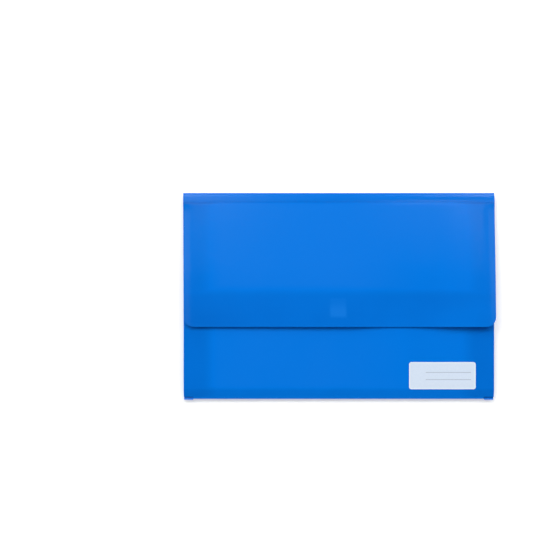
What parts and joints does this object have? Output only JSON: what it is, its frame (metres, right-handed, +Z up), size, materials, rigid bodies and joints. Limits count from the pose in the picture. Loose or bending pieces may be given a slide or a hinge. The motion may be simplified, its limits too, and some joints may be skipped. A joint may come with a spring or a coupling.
{
  "type": "document wallet",
  "caption": "Landscape foolscap document wallet of folded polypropylene sheet with an expanding gusseted pocket, a long hook-and-loop flap and a ruled label.",
  "frame": {"origin": "centre of the wallet's outline on the surface that its back panel lies on", "axes": "+X along the wallet's width to the label's side, +Y from the base to the spine, +Z up through the closed flap"},
  "size_m": [0.37, 0.2462, 0.0114],
  "materials": {
    "sheet": "satin translucent blue polypropylene sheet",
    "fastener_tape": "woven white nylon tape",
    "loop_pile": "napped white nylon loops",
    "hook_field": "rows of white moulded hooks",
    "label": "smooth white self-adhesive film label",
    "label_ink": "grey printed rules"
  },
  "bodies": {
    "back": {"back_panel": "sheet", "base_back_crease": "sheet", "spine_back_crease": "sheet", "left_gusset_back_crease": "sheet", "right_gusset_back_crease": "sheet"},
    "base_back": {"base_back_strip": "sheet", "base_edge_crease": "sheet"},
    "base_front": {"base_front_strip": "sheet"},
    "front": {"front_panel": "sheet", "base_front_crease": "sheet", "left_gusset_front_seam": "sheet", "right_gusset_front_seam": "sheet", "loop_tape": "fastener_tape", "loop_pile": "loop_pile", "label_sheet": "label", "label_rules": "label_ink"},
    "left_gusset_back": {"left_gusset_back": "sheet", "left_gusset_inner_crease": "sheet"},
    "left_gusset_front": {"left_gusset_front": "sheet"},
    "right_gusset_back": {"right_gusset_back": "sheet", "right_gusset_inner_crease": "sheet"},
    "right_gusset_front": {"right_gusset_front": "sheet"},
    "spine_back": {"spine_back_strip": "sheet", "spine_edge_crease": "sheet"},
    "spine_front": {"spine_front_strip": "sheet"},
    "flap": {"flap_panel": "sheet", "flap_crease": "sheet", "hook_tape": "fastener_tape", "hook_field": "hook_field"}
  },
  "joints": [
    {"name": "pocket_expand", "type": "hinge", "parent": "back", "child": "base_back", "pos_m": [0, -0.11085, 0.0006], "axis": [-1, 0, 0], "range_deg": [-12, 63]},
    {"name": "base_edge_fold", "type": "hinge", "parent": "base_back", "child": "base_front", "pos_m": [0, -0.12137, 0.00382], "axis": [1, 0, 0], "range_deg": [-24.01, 126.01]},
    {"name": "base_front_fold", "type": "hinge", "parent": "base_front", "child": "front", "pos_m": [0, -0.11085, 0.00703], "axis": [-1, 0, 0], "range_deg": [-12.01, 63.01]},
    {"name": "left_gusset_fold", "type": "hinge", "parent": "back", "child": "left_gusset_back", "pos_m": [-0.1834, -0.0506, 0.0006], "axis": [0, -1, 0], "range_deg": [-12.01, 63.01]},
    {"name": "left_gusset_inner_fold", "type": "hinge", "parent": "left_gusset_back", "child": "left_gusset_front", "pos_m": [-0.17288, -0.0506, 0.00382], "axis": [0, 1, 0], "range_deg": [-24.01, 126.01]},
    {"name": "right_gusset_fold", "type": "hinge", "parent": "back", "child": "right_gusset_back", "pos_m": [0.1834, -0.0506, 0.0006], "axis": [0, 1, 0], "range_deg": [-12.01, 63.01]},
    {"name": "right_gusset_inner_fold", "type": "hinge", "parent": "right_gusset_back", "child": "right_gusset_front", "pos_m": [0.17288, -0.0506, 0.00382], "axis": [0, -1, 0], "range_deg": [-24.01, 126.01]},
    {"name": "spine_back_fold", "type": "hinge", "parent": "back", "child": "spine_back", "pos_m": [0, 0.11195, 0.0006], "axis": [1, 0, 0], "range_deg": [-12.01, 63.01]},
    {"name": "spine_edge_fold", "type": "hinge", "parent": "spine_back", "child": "spine_front", "pos_m": [0, 0.12247, 0.00382], "axis": [-1, 0, 0], "range_deg": [-24.01, 126.01]},
    {"name": "flap_open", "type": "hinge", "parent": "front", "child": "flap", "pos_m": [0, 0.11195, 0.00703], "axis": [-1, 0, 0], "range_deg": [0, 175]}
  ],
  "couplings": [
    {"joint": "base_edge_fold", "follows": "pocket_expand", "ratio": 2},
    {"joint": "base_front_fold", "follows": "pocket_expand", "ratio": 1},
    {"joint": "left_gusset_fold", "follows": "pocket_expand", "ratio": 1},
    {"joint": "left_gusset_inner_fold", "follows": "pocket_expand", "ratio": 2},
    {"joint": "right_gusset_fold", "follows": "pocket_expand", "ratio": 1},
    {"joint": "right_gusset_inner_fold", "follows": "pocket_expand", "ratio": 2},
    {"joint": "spine_back_fold", "follows": "pocket_expand", "ratio": 1},
    {"joint": "spine_edge_fold", "follows": "pocket_expand", "ratio": 2}
  ]
}
